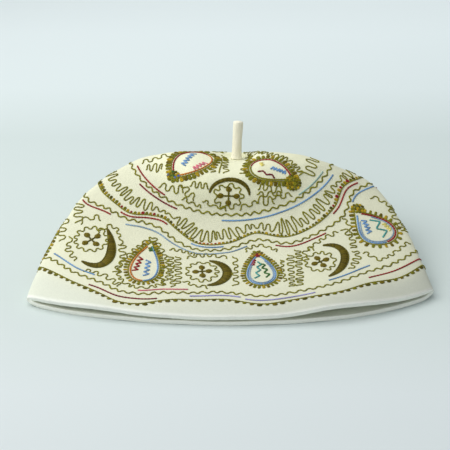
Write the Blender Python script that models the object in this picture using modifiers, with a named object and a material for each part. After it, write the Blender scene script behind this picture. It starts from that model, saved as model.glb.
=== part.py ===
"""A soft felt prayer cap lying on its back wall with the mouth toward the viewer (-Y).

The cap is one felt shell. Its middle surface is drawn as a family of closed
loops round the crown, from a small disc under the stalk (share 0) to the rim
(share 1). Each loop is pressed flat between the lower layer on the floor and
the upper layer above it, as the slack cap is. The felt stalk stands on the
crown disc.
"""
import math

import bmesh
import bpy
import numpy as np

# Felt and cap sizes, in metres.
FELT = 0.003
HALF_WIDTH = 0.128
DEPTH = 0.150
CROWN_HEIGHT = 0.050
MERIDIAN = 0.165
LAYER_GAP = 0.0009
FLOOR_PRESS = 0.0008

# The crown centre sits a little to the right, within this share of the centre.
CROWN_ASIDE = 0.0036
ASIDE_SHARE = 0.10

# The mouth opens a little wider in two places along the rim.
RIGHT_LIFT = 0.0042
RIGHT_LIFT_AT = 0.53
LEFT_LIFT = 0.0014
LEFT_LIFT_AT = -0.66
LIFT_SPREAD_SHARE = 0.22
LIFT_FROM_SHARE = 0.7

# How softly the felt bends round: widely at the shoulders, tightly at the folds near the rim.
SHOULDER_BEND = 0.0065
FOLD_BEND = 0.0012
SOFT_SHARE = 0.30
HARD_SHARE = 0.78
ROOM_TO_BEND = 14

# The stalk on the crown.
STALK_LENGTH = 0.0268
STALK_RADIUS = 0.0034
STALK_GAP = 0.0003
SEAT_RADIUS = 0.0058
SEAT_EASE = 2.2
STALK_BACK_TILT = math.radians(16)
STALK_SIDE_TILT = math.radians(3)

# Mesh fineness.
AROUND = 84
DOWN = 24
STALK_SIDES = 20

# One row for each loop. Column names:
# share   length from the crown centre to the rim, as a share
# wide    half width, share of HALF_WIDTH
# side_y, side_z      where the side folds are, shares of DEPTH and CROWN_HEIGHT
# front_y, front_z    middle of the upper layer
# back_y, back_z      middle of the lower layer or back wall
# layers  how far the two layers of felt still count as stacked
# belly   how the loop swells between fold and middle
# nose, heel   how squarely the upper and the lower half turn at the folds
# skew    how much further back the right fold lies, share of DEPTH
LOOPS = (
    (0.000, 0.000, 0.960, 0.800, 0.960, 0.800, 0.960, 0.800, 0.0, 1.20, 2.0, 2.0, 0.000),
    (0.070, 0.101, 0.950, 0.948, 0.868, 0.872, 1.025, 0.860, 0.0, 1.20, 2.0, 2.0, 0.000),
    (0.160, 0.226, 0.930, 0.997, 0.752, 0.900, 1.055, 0.470, 0.1, 1.20, 2.3, 2.8, 0.000),
    (0.270, 0.379, 0.925, 0.975, 0.689, 0.697, 1.000, 0.100, 0.3, 1.20, 2.8, 5.0, -0.005),
    (0.385, 0.527, 0.900, 0.893, 0.636, 0.421, 0.840, 0.000, 0.5, 1.25, 3.2, 6.0, -0.008),
    (0.520, 0.735, 0.808, 0.668, 0.524, 0.188, 0.610, 0.000, 0.8, 1.30, 3.8, 9.0, 0.030),
    (0.700, 0.887, 0.597, 0.334, 0.334, 0.082, 0.370, 0.000, 1.0, 1.40, 5.0, 13.0, 0.036),
    (0.880, 0.974, 0.328, 0.106, 0.123, 0.042, 0.140, 0.000, 1.0, 1.50, 9.0, 17.0, 0.022),
    (1.000, 1.003, 0.193, 0.017, 0.000, 0.000, 0.000, 0.000, 1.0, 1.50, 16.0, 16.0, 0.031),
)

# Shares of the stalk length and radius, from its foot to its rounded tip.
STALK_PROFILE = (
    (0.00, 1.22),
    (0.06, 1.10),
    (0.16, 1.00),
    (0.55, 0.96),
    (0.90, 1.06),
    (0.97, 0.98),
    (1.00, 0.70),
)


def between_rows(share):
    """The loop columns at a share, by a smooth cubic through the table rows."""
    table = np.array(LOOPS)
    keys = table[:, 0]
    slopes = np.gradient(table, keys, axis=0)
    row = int(np.clip(np.searchsorted(keys, share, side="right") - 1, 0, len(keys) - 2))
    span = keys[row + 1] - keys[row]
    t = (share - keys[row]) / span
    rise = 3 * t ** 2 - 2 * t ** 3
    lead = (t ** 3 - 2 * t ** 2 + t) * span
    tail = (t ** 3 - t ** 2) * span
    return (1 - rise) * table[row] + rise * table[row + 1] + lead * slopes[row] + tail * slopes[row + 1]


def mouth_lift(across):
    """How much further the upper layer rises at the rim, at a share of the half width."""
    right = RIGHT_LIFT * np.exp(-((across - RIGHT_LIFT_AT) / LIFT_SPREAD_SHARE) ** 2)
    left = LEFT_LIFT * np.exp(-((across - LEFT_LIFT_AT) / LIFT_SPREAD_SHARE) ** 2)
    return right + left


def pressed_loop(share, turn):
    """Points of one loop; turn 0 is the right fold, a quarter turn the upper layer."""
    (_, wide, side_y, side_z, front_y, front_z, back_y, back_z,
     layers, belly, nose, heel, skew) = between_rows(share)
    stack = layers * (FELT + LAYER_GAP)
    low = FELT / 2 + CROWN_HEIGHT * back_z - FLOOR_PRESS
    high = FELT / 2 + stack + CROWN_HEIGHT * front_z
    fold = FELT / 2 + stack / 2 + CROWN_HEIGHT * side_z
    across = np.cos(turn)
    upper = np.sin(turn) >= 0
    swell = np.abs(np.sin(turn)) ** belly
    press = np.sqrt(np.clip(1 - np.abs(across) ** np.where(upper, nose, heel), 0, 1))
    y_side = DEPTH * (side_y + skew * across)
    y_middle = DEPTH * (front_y + back_y) / 2
    y_half = DEPTH * (front_y - back_y) / 2
    x = HALF_WIDTH * wide * across + CROWN_ASIDE * math.exp(-(share / ASIDE_SHARE) ** 2)
    y = y_side + (y_middle - y_side) * swell + y_half * np.where(upper, press, -press)
    z_upper = fold + ((high + low) / 2 - fold) * swell + (high - low) / 2 * press
    near_rim = np.clip((share - LIFT_FROM_SHARE) / (1 - LIFT_FROM_SHARE), 0, 1) ** 2
    z_upper = z_upper + near_rim * mouth_lift(across) * press
    z_lower = fold + (low - fold) * press
    z = np.where(upper, z_upper, z_lower)
    return np.stack([x, y, np.maximum(z, FELT / 2)], axis=-1)


def rounded(points, length, bend):
    """Rounds the bends of a closed loop of even points: a Gaussian average as wide as bend."""
    wave = np.fft.rfftfreq(len(points), length / len(points))
    keep = np.exp(-2 * (math.pi * bend * wave) ** 2)
    return np.fft.irfft(np.fft.rfft(points, axis=0) * keep[:, None], len(points), axis=0)


def even_loop(share, angles):
    """The loop at the given angles, spread evenly along each quarter of its length, its bends rounded."""
    steps = np.linspace(0, 2 * math.pi, 721)
    points = pressed_loop(share, steps)
    length = np.concatenate([[0], np.cumsum(np.linalg.norm(np.diff(points, axis=0), axis=1))])
    quarter = (len(steps) - 1) // 4
    spread = np.zeros(len(steps))
    for k in range(4):
        first = k * quarter
        last = first + quarter
        part = length[first:last + 1] - length[first]
        spread[first:last + 1] = (k + part / max(part[-1], 1e-9)) * math.pi / 2
    even = pressed_loop(share, np.interp(steps[:-1], spread, steps))
    hard = float(np.clip((share - SOFT_SHARE) / (HARD_SHARE - SOFT_SHARE), 0, 1))
    hard = hard * hard * (3 - 2 * hard)
    bend = SHOULDER_BEND + (FOLD_BEND - SHOULDER_BEND) * hard
    even = rounded(even, max(length[-1], 1e-6), min(bend, length[-1] / ROOM_TO_BEND))
    even = np.concatenate([even, even[:1]])
    return np.stack([np.interp(np.mod(angles, 2 * math.pi), steps, even[:, k]) for k in range(3)], axis=-1)


def stalk_frame():
    """Crown centre, and the directions across, forward and along the stalk."""
    centre = pressed_loop(0.0, np.zeros(1))[0]
    along = np.array([math.tan(STALK_SIDE_TILT), math.tan(STALK_BACK_TILT), 1.0])
    along = along / np.linalg.norm(along)
    across = np.cross([0.0, -1.0, 0.0], along)
    across = across / np.linalg.norm(across)
    forward = np.cross(along, across)
    if forward[1] > 0:
        forward = -forward
    if across[0] < 0:
        across = -across
    return centre, across, forward, along


def middle_surface(shares, angles):
    """The felt's middle surface: a flat disc under the stalk, easing into the loops."""
    centre, across, forward, _ = stalk_frame()
    seat = SEAT_RADIUS / MERIDIAN
    rows = []
    for share in shares:
        ring = share * MERIDIAN
        disc = centre + ring * (np.outer(np.cos(angles), across) + np.outer(np.sin(angles), forward))
        ease = float(np.clip((share - seat) / (SEAT_EASE * seat), 0, 1))
        ease = ease * ease * (3 - 2 * ease)
        rows.append((1 - ease) * disc + ease * even_loop(share, angles))
    return np.array(rows)


def felt_material(name, colour, roughness):
    """A plain rough felt."""
    material = bpy.data.materials.new(name)
    material.use_nodes = True
    shader = material.node_tree.nodes["Principled BSDF"]
    shader.inputs["Base Color"].default_value = (*colour, 1.0)
    shader.inputs["Roughness"].default_value = roughness
    shader.inputs["Metallic"].default_value = 0.0
    return material


def add_object(name, vertices, faces, material, collection):
    """One mesh object with its own material."""
    mesh = bpy.data.meshes.new(name)
    mesh.from_pydata([tuple(float(c) for c in v) for v in vertices], [], faces)
    mesh.materials.append(material)
    mesh.update()
    thing = bpy.data.objects.new(name, mesh)
    collection.objects.link(thing)
    return thing


def outward(thing):
    """Turn all faces of a closed mesh outward."""
    work = bmesh.new()
    work.from_mesh(thing.data)
    bmesh.ops.recalc_face_normals(work, faces=work.faces)
    work.to_mesh(thing.data)
    work.free()


def felt_body(collection):
    """The whole cap: the middle surface thickened to felt."""
    shares = np.linspace(0, 1, DOWN + 1)[1:]
    angles = np.linspace(0, 2 * math.pi, AROUND, endpoint=False)
    grid = middle_surface(shares, angles)
    centre = stalk_frame()[0]
    vertices = [centre] + list(grid.reshape(-1, 3))
    faces = []
    for k in range(AROUND):
        following = (k + 1) % AROUND
        faces.append((0, 1 + following, 1 + k))
        for row in range(DOWN - 1):
            here = 1 + row * AROUND
            below = here + AROUND
            faces.append((here + k, here + following, below + following, below + k))
    material = felt_material("cap_felt", (0.79, 0.79, 0.72), 0.95)
    thing = add_object("felt_body", vertices, faces, material, collection)
    thicken = thing.modifiers.new("felt", "SOLIDIFY")
    thicken.thickness = FELT
    thicken.offset = 0.0
    return thing


def stalk(collection):
    """The round felt stalk, standing a hair above the crown disc."""
    centre, across, forward, along = stalk_frame()
    foot = centre + along * (FELT / 2 + STALK_GAP)
    vertices = []
    for height, radius in STALK_PROFILE:
        for k in range(STALK_SIDES):
            turn = 2 * math.pi * k / STALK_SIDES
            side = across * math.cos(turn) + forward * math.sin(turn)
            vertices.append(foot + along * height * STALK_LENGTH + side * radius * STALK_RADIUS)
    faces = [tuple(range(STALK_SIDES)), tuple(range(len(vertices) - STALK_SIDES, len(vertices)))]
    for row in range(len(STALK_PROFILE) - 1):
        here = row * STALK_SIDES
        for k in range(STALK_SIDES):
            following = (k + 1) % STALK_SIDES
            faces.append((here + k, here + following,
                          here + STALK_SIDES + following, here + STALK_SIDES + k))
    material = felt_material("stalk_felt", (0.86, 0.83, 0.70), 0.92)
    thing = add_object("stalk", vertices, faces, material, collection)
    outward(thing)
    return thing


def rest_on_origin(things):
    """Move the pieces so that the middle of their base is the origin."""
    graph = bpy.context.evaluated_depsgraph_get()
    corners = []
    for thing in things:
        seen = thing.evaluated_get(graph)
        mesh = seen.to_mesh()
        corners.extend([tuple(v.co) for v in mesh.vertices])
        seen.to_mesh_clear()
    corners = np.array(corners)
    low = corners.min(axis=0)
    high = corners.max(axis=0)
    shift = np.array([(low[0] + high[0]) / 2, (low[1] + high[1]) / 2, low[2]])
    for thing in things:
        for vertex in thing.data.vertices:
            vertex.co = tuple(float(c) for c in np.array(vertex.co) - shift)
        thing.data.update()


def main():
    """Clear the scene and build the cap."""
    for old in list(bpy.data.objects):
        bpy.data.objects.remove(old, do_unlink=True)
    collection = bpy.data.collections.new("prayer_cap")
    bpy.context.scene.collection.children.link(collection)
    rest_on_origin([felt_body(collection), stalk(collection)])


main()
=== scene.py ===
"""A felt prayer cap, embroidered, lying slack on a pale floor with its open rim to the front."""

import math

import bpy
import numpy as np
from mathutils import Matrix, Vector


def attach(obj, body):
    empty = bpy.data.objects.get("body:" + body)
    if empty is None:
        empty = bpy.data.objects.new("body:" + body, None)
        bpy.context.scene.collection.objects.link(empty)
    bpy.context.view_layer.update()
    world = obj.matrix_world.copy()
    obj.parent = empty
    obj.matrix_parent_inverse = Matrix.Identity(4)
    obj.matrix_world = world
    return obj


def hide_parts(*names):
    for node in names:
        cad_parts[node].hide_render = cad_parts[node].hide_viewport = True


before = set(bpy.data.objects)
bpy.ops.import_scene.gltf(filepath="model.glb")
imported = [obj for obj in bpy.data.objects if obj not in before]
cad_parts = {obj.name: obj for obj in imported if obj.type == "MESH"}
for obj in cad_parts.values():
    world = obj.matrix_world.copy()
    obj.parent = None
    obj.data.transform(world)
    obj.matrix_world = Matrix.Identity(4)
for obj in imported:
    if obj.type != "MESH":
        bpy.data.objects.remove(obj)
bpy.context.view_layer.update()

rng = np.random.default_rng(11)

# the cap's form: lengths in metres; a share runs along the felt from the crown (0) to the rim (1)
FELT = 0.003
HALF_WIDTH = 0.128
DEPTH = 0.150
CROWN_HEIGHT = 0.050
MERIDIAN = 0.165
CENTRE_Y = 0.0797
LAYER_GAP = 0.0009
FLOOR_PRESS = 0.0008
CROWN_ASIDE = 0.0036
ASIDE_SHARE = 0.10
FELT_WOBBLE = 0.00022

# the upper layer's lifts at the rim: height, place across as a share of the half width, spread and start
RIGHT_LIFT = 0.0042
RIGHT_LIFT_AT = 0.53
LEFT_LIFT = 0.0014
LEFT_LIFT_AT = -0.66
LIFT_SPREAD_SHARE = 0.22
LIFT_FROM_SHARE = 0.7

# how wide the felt's bends are: soft at the shoulder, hard in the folds
SHOULDER_BEND = 0.0065
FOLD_BEND = 0.0012
SOFT_SHARE = 0.30
HARD_SHARE = 0.78
ROOM_TO_BEND = 14
LOOP_STEPS = 720

# the stalk and the flat seat under it
SEAT_RADIUS = 0.0058
SEAT_EASE = 2.2
STALK_LENGTH = 0.0268
STALK_RADIUS = 0.0034
STALK_BACK_TILT = math.radians(16)
STALK_SIDE_TILT = math.radians(3)
STALK_GAP = 0.0003
STALK_DOME = 0.0012

# the loops of the felt. Shares of the named sizes: width; y and z at the folds, in front and behind; then
# the layers of felt, the powers that shape the sides, the upper and the lower half, and a skew of the folds.
# share, wide, side_y, side_z, front_y, front_z, back_y, back_z, layers, belly, nose, heel, skew
LOOPS = (
    (0.000, 0.000, 0.960, 0.800, 0.960, 0.800, 0.960, 0.800, 0.0, 1.20, 2.0, 2.0, 0.000),
    (0.070, 0.101, 0.950, 0.948, 0.868, 0.872, 1.025, 0.860, 0.0, 1.20, 2.0, 2.0, 0.000),
    (0.160, 0.226, 0.930, 0.997, 0.752, 0.900, 1.055, 0.470, 0.1, 1.20, 2.3, 2.8, 0.000),
    (0.270, 0.379, 0.925, 0.975, 0.689, 0.697, 1.000, 0.100, 0.3, 1.20, 2.8, 5.0, -0.005),
    (0.385, 0.527, 0.900, 0.893, 0.636, 0.421, 0.840, 0.000, 0.5, 1.25, 3.2, 6.0, -0.008),
    (0.520, 0.735, 0.808, 0.668, 0.524, 0.188, 0.610, 0.000, 0.8, 1.30, 3.8, 9.0, 0.030),
    (0.700, 0.887, 0.597, 0.334, 0.334, 0.082, 0.370, 0.000, 1.0, 1.40, 5.0, 13.0, 0.036),
    (0.880, 0.974, 0.328, 0.106, 0.123, 0.042, 0.140, 0.000, 1.0, 1.50, 9.0, 17.0, 0.022),
    (1.000, 1.003, 0.193, 0.017, 0.000, 0.000, 0.000, 0.000, 1.0, 1.50, 16.0, 16.0, 0.031),
)


def between_rows(rows, key, wrap=0.0):
    """Smooth cubic through table rows at a key; with wrap, the first column goes round."""
    table = np.array(rows, float)
    if wrap:
        table = table[np.argsort(table[:, 0])]
        before, after = table[-2:].copy(), table[:2].copy()
        before[:, 0] -= wrap
        after[:, 0] += wrap
        table = np.concatenate([before, table, after])
        key = (key - table[2, 0]) % wrap + table[2, 0]
    keys = table[:, 0]
    slopes = np.gradient(table, keys, axis=0)
    row = np.clip(np.searchsorted(keys, key, side="right") - 1, 0, len(keys) - 2)
    span = keys[row + 1] - keys[row]
    t = (key - keys[row]) / span
    rise = 3 * t ** 2 - 2 * t ** 3
    lead = (t ** 3 - 2 * t ** 2 + t) * span
    tail = (t ** 3 - t ** 2) * span
    rise, lead, tail = (np.asarray(a)[..., None] for a in (rise, lead, tail))
    return (1 - rise) * table[row] + rise * table[row + 1] + lead * slopes[row] + tail * slopes[row + 1]


def eased(x):
    """A smooth step: three x squared less two x cubed, x kept from 0 to 1."""
    x = float(np.clip(x, 0, 1))
    return x * x * (3 - 2 * x)


def pressed_loop(share, turn):
    """One loop of the felt's middle surface: a flattened ring, its upper half over its lower half.

    x goes as the cosine of the turn. y and z go from the folds' to the middle's as a power of the sine, and
    the halves part by the root of one less a power of the cosine.
    """
    (_, wide, side_y, side_z, front_y, front_z, back_y, back_z,
     layers, belly, nose, heel, skew) = between_rows(LOOPS, share)
    stack = layers * (FELT + LAYER_GAP)
    low = FELT / 2 + CROWN_HEIGHT * back_z - FLOOR_PRESS
    high = FELT / 2 + stack + CROWN_HEIGHT * front_z
    fold = FELT / 2 + stack / 2 + CROWN_HEIGHT * side_z
    across = np.cos(turn)
    upper = np.sin(turn) >= 0
    swell = np.abs(np.sin(turn)) ** belly
    press = np.sqrt(np.clip(1 - np.abs(across) ** np.where(upper, nose, heel), 0, 1))
    y_side = DEPTH * (side_y + skew * across)
    y_middle = DEPTH * (front_y + back_y) / 2
    y_half = DEPTH * (front_y - back_y) / 2
    y = y_side + (y_middle - y_side) * swell + y_half * np.where(upper, press, -press)
    z_upper = fold + ((high + low) / 2 - fold) * swell + (high - low) / 2 * press
    lift = (RIGHT_LIFT * np.exp(-((across - RIGHT_LIFT_AT) / LIFT_SPREAD_SHARE) ** 2)
            + LEFT_LIFT * np.exp(-((across - LEFT_LIFT_AT) / LIFT_SPREAD_SHARE) ** 2))
    near_rim = np.clip((share - LIFT_FROM_SHARE) / (1 - LIFT_FROM_SHARE), 0, 1) ** 2
    z_upper = z_upper + near_rim * lift * press
    z = np.where(upper, z_upper, fold + (low - fold) * press)
    x = HALF_WIDTH * wide * across + CROWN_ASIDE * math.exp(-(share / ASIDE_SHARE) ** 2)
    return np.stack([x, y - CENTRE_Y, np.maximum(z, FELT / 2)], axis=-1)


def rounded(points, length, bend):
    """Rounds the bends of a closed loop of even points: a Gaussian average as wide as bend."""
    wave = np.fft.rfftfreq(len(points), length / len(points))
    keep = np.exp(-2 * (math.pi * bend * wave) ** 2)
    return np.fft.irfft(np.fft.rfft(points, axis=0) * keep[:, None], len(points), axis=0)


def even_loop(share, angles):
    """The loop at the given angles, spread evenly along each quarter of its length, its bends rounded."""
    steps = np.linspace(0, 2 * math.pi, LOOP_STEPS + 1)
    points = pressed_loop(share, steps)
    length = np.concatenate([[0], np.cumsum(np.linalg.norm(np.diff(points, axis=0), axis=1))])
    quarter = LOOP_STEPS // 4
    spread = np.zeros(len(steps))
    for k in range(4):
        first = k * quarter
        last = first + quarter
        part = length[first:last + 1] - length[first]
        spread[first:last + 1] = (k + part / max(part[-1], 1e-9)) * math.pi / 2
    even = pressed_loop(share, np.interp(steps[:-1], spread, steps))
    hard = eased((share - SOFT_SHARE) / (HARD_SHARE - SOFT_SHARE))
    bend = SHOULDER_BEND + (FOLD_BEND - SHOULDER_BEND) * hard
    even = rounded(even, max(length[-1], 1e-6), min(bend, length[-1] / ROOM_TO_BEND))
    even = np.concatenate([even, even[:1]])
    return np.stack([np.interp(np.mod(angles, 2 * math.pi), steps, even[:, k]) for k in range(3)], axis=-1)


def stalk_frame():
    """Crown centre, and the directions across, forward and along the stalk."""
    centre = pressed_loop(0.0, np.zeros(1))[0]
    along = np.array([math.tan(STALK_SIDE_TILT), math.tan(STALK_BACK_TILT), 1.0])
    along = along / np.linalg.norm(along)
    across = np.cross(along, [0.0, -1.0, 0.0])
    across = across / np.linalg.norm(across)
    across = across * np.sign(across[0])
    forward = np.cross(along, across)
    forward = -forward * np.sign(forward[1])
    return centre, across, forward, along


def middle_surface(shares, angles):
    """The felt's middle surface: a flat disc under the stalk, easing into the loops."""
    centre, across, forward, _ = stalk_frame()
    seat = SEAT_RADIUS / MERIDIAN
    rows = []
    for share in shares:
        ring = share * MERIDIAN
        disc = centre + ring * (np.outer(np.cos(angles), across) + np.outer(np.sin(angles), forward))
        ease = eased((share - seat) / (SEAT_EASE * seat))
        rows.append((1 - ease) * disc + ease * even_loop(share, angles))
    return np.array(rows)


# nearer the crown than this share, the pattern is laid out on a disc
POLAR_SHARE = 0.36


def polar_to_flat(share, angle):
    """Share and angle as a point of a disc."""
    turn = np.radians(angle)
    return np.stack([share * np.cos(turn), share * np.sin(turn)], axis=-1)


def flat_to_polar(u, v):
    """A point of the disc as share and angle."""
    return np.hypot(u, v), np.degrees(np.arctan2(v, u))


class FeltMap:
    """The cap's outer face by share (crown 0, rim 1) and angle in degrees (0 right fold, 90 front)."""

    ROWS = 400
    COLUMNS = 1080

    def __init__(self):
        self.shares = np.linspace(0.002, 1.0, self.ROWS)
        angles = np.arange(self.COLUMNS) * 2 * math.pi / self.COLUMNS
        self.middle = middle_surface(self.shares, angles)
        down = np.gradient(self.middle, axis=0)
        along = np.roll(self.middle, -1, axis=1) - np.roll(self.middle, 1, axis=1)
        normal = np.cross(along, down)
        self.normal = normal / (np.linalg.norm(normal, axis=-1, keepdims=True) + 1e-12)
        self.down = down / (np.linalg.norm(down, axis=-1, keepdims=True) + 1e-12)
        step = np.linalg.norm(along, axis=-1) / 2
        self.radius = step.sum(axis=1) / (2 * math.pi)
        share_grid = self.shares[:, None]
        angle_grid = angles[None, :]
        self.wobble = FELT_WOBBLE * (
            np.sin(9 * angle_grid + 23 * share_grid) * np.sin(31 * share_grid + 2 * np.sin(3 * angle_grid))
            + 0.6 * np.sin(17 * angle_grid + 4 * np.sin(19 * share_grid)) * np.sin(47 * share_grid)
        ) * np.clip(share_grid * 4, 0, 1)

    def look(self, grid, share, angle):
        """Bilinear look-up in a grid, going round in angle."""
        row = np.clip((np.asarray(share) - self.shares[0]) / (1 - self.shares[0]), 0, 1) * (self.ROWS - 1)
        column = (np.asarray(angle) / 360.0 % 1.0) * self.COLUMNS
        i = np.minimum(row.astype(int), self.ROWS - 2)
        j = column.astype(int) % self.COLUMNS
        k = (j + 1) % self.COLUMNS
        fr, fc = row - i, column - np.floor(column)
        if grid.ndim == 3:
            fr, fc = fr[..., None], fc[..., None]
        top = grid[i, j] * (1 - fc) + grid[i, k] * fc
        low = grid[i + 1, j] * (1 - fc) + grid[i + 1, k] * fc
        return top * (1 - fr) + low * fr

    def place(self, share, angle, lift=0.0):
        """Points on the outer face, raised by lift, and the outward normals there."""
        normal = self.look(self.normal, share, angle)
        normal = normal / (np.linalg.norm(normal, axis=-1, keepdims=True) + 1e-12)
        rise = FELT / 2 + self.look(self.wobble, share, angle) + lift
        return self.look(self.middle, share, angle) + normal * np.asarray(rise)[..., None], normal

    def move(self, share, angle, offset):
        """Share and angle after a small step along the felt, given as offsets in metres.

        The step is solved from the felt's two slopes, taken as differences over a share step and a degree.
        """
        near = float(np.mean(share)) < POLAR_SHARE
        step = 0.004

        def spot(first, second):
            if near:
                first, second = flat_to_polar(first, second)
            return self.look(self.middle, first, second)

        first, second = (polar_to_flat(share, angle).T if near else (share, angle))
        wide = step if near else 1.0
        one = (spot(first + step, second) - spot(first - step, second)) / (2 * step)
        two = (spot(first, second + wide) - spot(first, second - wide)) / (2 * wide)
        a, b, c = (one * one).sum(-1), (one * two).sum(-1), (two * two).sum(-1)
        p, q = (one * offset).sum(-1), (two * offset).sum(-1)
        room = a * c - b * b + 1e-18
        first = first + (c * p - b * q) / room
        second = second + (a * q - b * p) / room
        return flat_to_polar(first, second) if near else (first, second)

    def ring_radius(self, share):
        """Mean radius of the loop at a share."""
        return np.interp(share, self.shares, self.radius)


felt_map = FeltMap()


def add_mesh(name, points, faces, material, colours=None):
    """A mesh object from whole arrays, kept above the floor; colours is one RGB for each point."""
    points = np.array(points, float)
    points[:, 2] = np.maximum(points[:, 2], 0.0)
    mesh = bpy.data.meshes.new(name)
    faces = [np.asarray(f) for f in faces if len(f)]
    sizes = np.concatenate([np.full(len(f), f.shape[1]) for f in faces])
    loops = np.concatenate([f.reshape(-1) for f in faces])
    starts = np.concatenate([[0], np.cumsum(sizes)[:-1]])
    mesh.vertices.add(len(points))
    mesh.vertices.foreach_set("co", points.astype(np.float32).reshape(-1))
    mesh.loops.add(len(loops))
    mesh.loops.foreach_set("vertex_index", loops.astype(np.int32))
    mesh.polygons.add(len(sizes))
    mesh.polygons.foreach_set("loop_start", starts.astype(np.int32))
    mesh.polygons.foreach_set("use_smooth", np.ones(len(sizes), bool))
    if colours is not None:
        layer = mesh.color_attributes.new("tone", "FLOAT_COLOR", "POINT")
        rgba = np.concatenate([colours, np.ones((len(points), 1))], axis=1)
        layer.data.foreach_set("color", rgba.astype(np.float32).reshape(-1))
    mesh.update(calc_edges=True)
    mesh.validate()
    mesh.materials.append(material)
    thing = bpy.data.objects.new(name, mesh)
    bpy.context.scene.collection.objects.link(thing)
    return thing


def grid_faces(rows, columns, first=0):
    """Quads of a grid that closes round its columns."""
    r, c = np.meshgrid(np.arange(rows - 1), np.arange(columns), indexing="ij")
    here = first + r * columns + c
    beside = first + r * columns + (c + 1) % columns
    return np.stack([here, here + columns, beside + columns, beside], axis=-1).reshape(-1, 4)


def faces_outward(points, *groups):
    """Turns all face groups over if the closed skin has a negative volume."""
    volume = 0.0
    for group in groups:
        for k in range(1, group.shape[1] - 1):
            a, b, c = points[group[:, 0]], points[group[:, k]], points[group[:, k + 1]]
            volume += float(np.einsum("ij,ij->", a, np.cross(b, c)))
    return groups if volume > 0 else tuple(g[:, ::-1] for g in groups)


def closed_skin(rows, first, last):
    """Rings joined row by row, closed at each end by triangles round an end point, faces outward."""
    count, columns = rows.shape[:2]
    points = np.concatenate([rows.reshape(-1, 3), [first, last]])
    k = np.arange(columns)
    beside = (k + 1) % columns
    end = (count - 1) * columns
    fans = np.concatenate([
        np.stack([k, beside, np.full(columns, len(points) - 2)], axis=-1),
        np.stack([end + beside, end + k, np.full(columns, len(points) - 1)], axis=-1)])
    return points, faces_outward(points, grid_faces(count, columns), fans)


class Threads:
    """Gathers many tubes into one mesh."""

    def __init__(self):
        self.points, self.faces, self.caps, self.colours, self.count = [], [], [], [], 0

    def tube(self, centre, normal, radius, colour, flat=0.75, sides=5):
        """A closed tube along centre points: rings square to the path, flattened toward the felt."""
        n = len(centre)
        if n < 2:
            return
        along = np.gradient(centre, axis=0)
        along /= np.linalg.norm(along, axis=1, keepdims=True) + 1e-12
        side = np.cross(along, normal)
        side /= np.linalg.norm(side, axis=1, keepdims=True) + 1e-12
        up = np.cross(side, along)
        turn = 2 * math.pi * np.arange(sides) / sides + math.pi / 2
        radius = np.broadcast_to(radius, n)[:, None, None]
        ring = (centre[:, None, :] + radius * (np.cos(turn)[None, :, None] * side[:, None, :]
                + flat * np.sin(turn)[None, :, None] * up[:, None, :]))
        self.points.append(ring.reshape(-1, 3))
        self.faces.append(grid_faces(n, sides, self.count))
        first = self.count + np.arange(sides)
        self.caps.append(np.stack([first, first[::-1] + (n - 1) * sides]))
        self.colours.append(np.repeat(np.broadcast_to(colour, (n, 3)), sides, axis=0))
        self.count += n * sides

    def build(self, name, material):
        """The joined mesh object."""
        caps = {}
        for pair in self.caps:
            caps.setdefault(pair.shape[1], []).append(pair)
        faces = [np.concatenate(self.faces)] + [np.concatenate(c) for c in caps.values()]
        return add_mesh(name, np.concatenate(self.points), faces, material, np.concatenate(self.colours))


def srgb(r, g, b):
    """Linear light from an everyday 0 to 255 colour."""
    c = np.array([r, g, b], float) / 255
    return np.where(c <= 0.04045, c / 12.92, ((c + 0.055) / 1.055) ** 2.4)


# thread colours
OLIVE = srgb(126, 122, 16)
DARK_OLIVE = srgb(92, 86, 4)
GOLD = srgb(176, 150, 24)
RED = srgb(150, 34, 34)
MAROON = srgb(122, 36, 44)
PINK = srgb(214, 120, 134)
BLUE = srgb(112, 152, 196)
DEEP_BLUE = srgb(74, 104, 168)
LILAC = srgb(160, 156, 208)
TEAL = srgb(74, 152, 146)
GREEN = srgb(64, 110, 50)
ORANGE = srgb(196, 120, 40)
YELLOW = srgb(226, 214, 120)
SATIN_OLIVE = srgb(112, 98, 4)
FADED_BLUE = srgb(140, 164, 186)
FADED_TEAL = srgb(150, 178, 170)

# a chain stitch's length, its swell and the painted shade that darkens it where it narrows, and the dye's
# slow change of shade over a length
STITCH = 0.0021
STITCH_SWELL = 0.22
STITCH_PAINTED_SHADE = 0.16
DYE_DRIFT = 0.14
DYE_LENGTH = 0.023

# threads' widths
FINE_THREAD = 0.0008
RING_THREAD = 0.0009
FREEHAND_THREAD = 0.00098
THREAD = 0.0010
BAND_THREAD = 0.0011
THICK_THREAD = 0.0012

winding, bands, coloured, satin, knots = (Threads() for _ in range(5))


def smooth_path(share, angle, step):
    """A pattern path resampled evenly by its length on the felt: shares, angles and lengths."""
    points, _ = felt_map.place(share, angle)
    length = np.concatenate([[0], np.cumsum(np.linalg.norm(np.diff(points, axis=0), axis=1))])
    even = np.linspace(0, length[-1], max(int(length[-1] / step), 4))
    flat = polar_to_flat(share, angle)
    share, angle = flat_to_polar(*(np.interp(even, length, flat[:, k]) for k in range(2)))
    return share, np.degrees(np.unwrap(np.radians(angle))), even


# how much a motif that is folded over an edge is shortened along the felt
FOLD_SLACK = 1.15


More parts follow.
